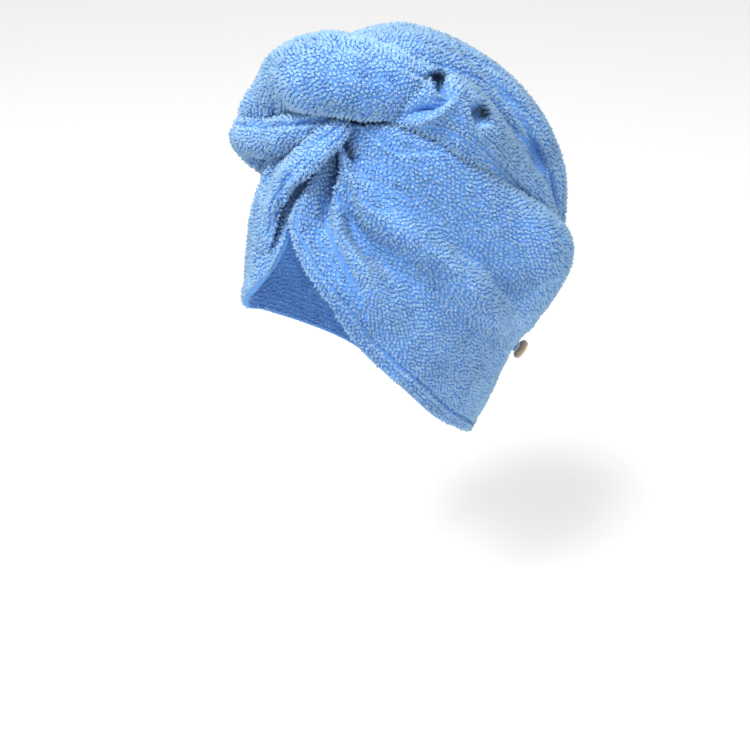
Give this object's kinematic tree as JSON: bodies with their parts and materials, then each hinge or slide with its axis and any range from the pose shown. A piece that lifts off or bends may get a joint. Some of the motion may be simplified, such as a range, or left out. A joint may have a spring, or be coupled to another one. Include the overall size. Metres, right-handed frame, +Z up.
{
  "type": "hair turban towel",
  "caption": "Plush microfibre hair turban in its worn form: gathered hood with a knot over the forehead, twisted cloth laid over the crown, and a tail held by a loop and button.",
  "frame": {"origin": "where the crown of the head touches the inside of the hood", "axes": "+Z up, the wearer looks along -Y, the wearer's left is +X"},
  "size_m": [0.1745, 0.2069, 0.2694],
  "materials": {
    "plush_blue": "plush pile in close rows",
    "button_beige": "satin horn look",
    "thread_cream": "twisted thread",
    "elastic_blue": "braided elastic"
  },
  "bodies": {
    "root": {"hood": "plush_blue", "front_twist": "plush_blue", "side_fold": "plush_blue", "tail": "plush_blue", "button": "button_beige", "button_thread": "thread_cream", "elastic_loop": "elastic_blue"}
  },
  "joints": []
}
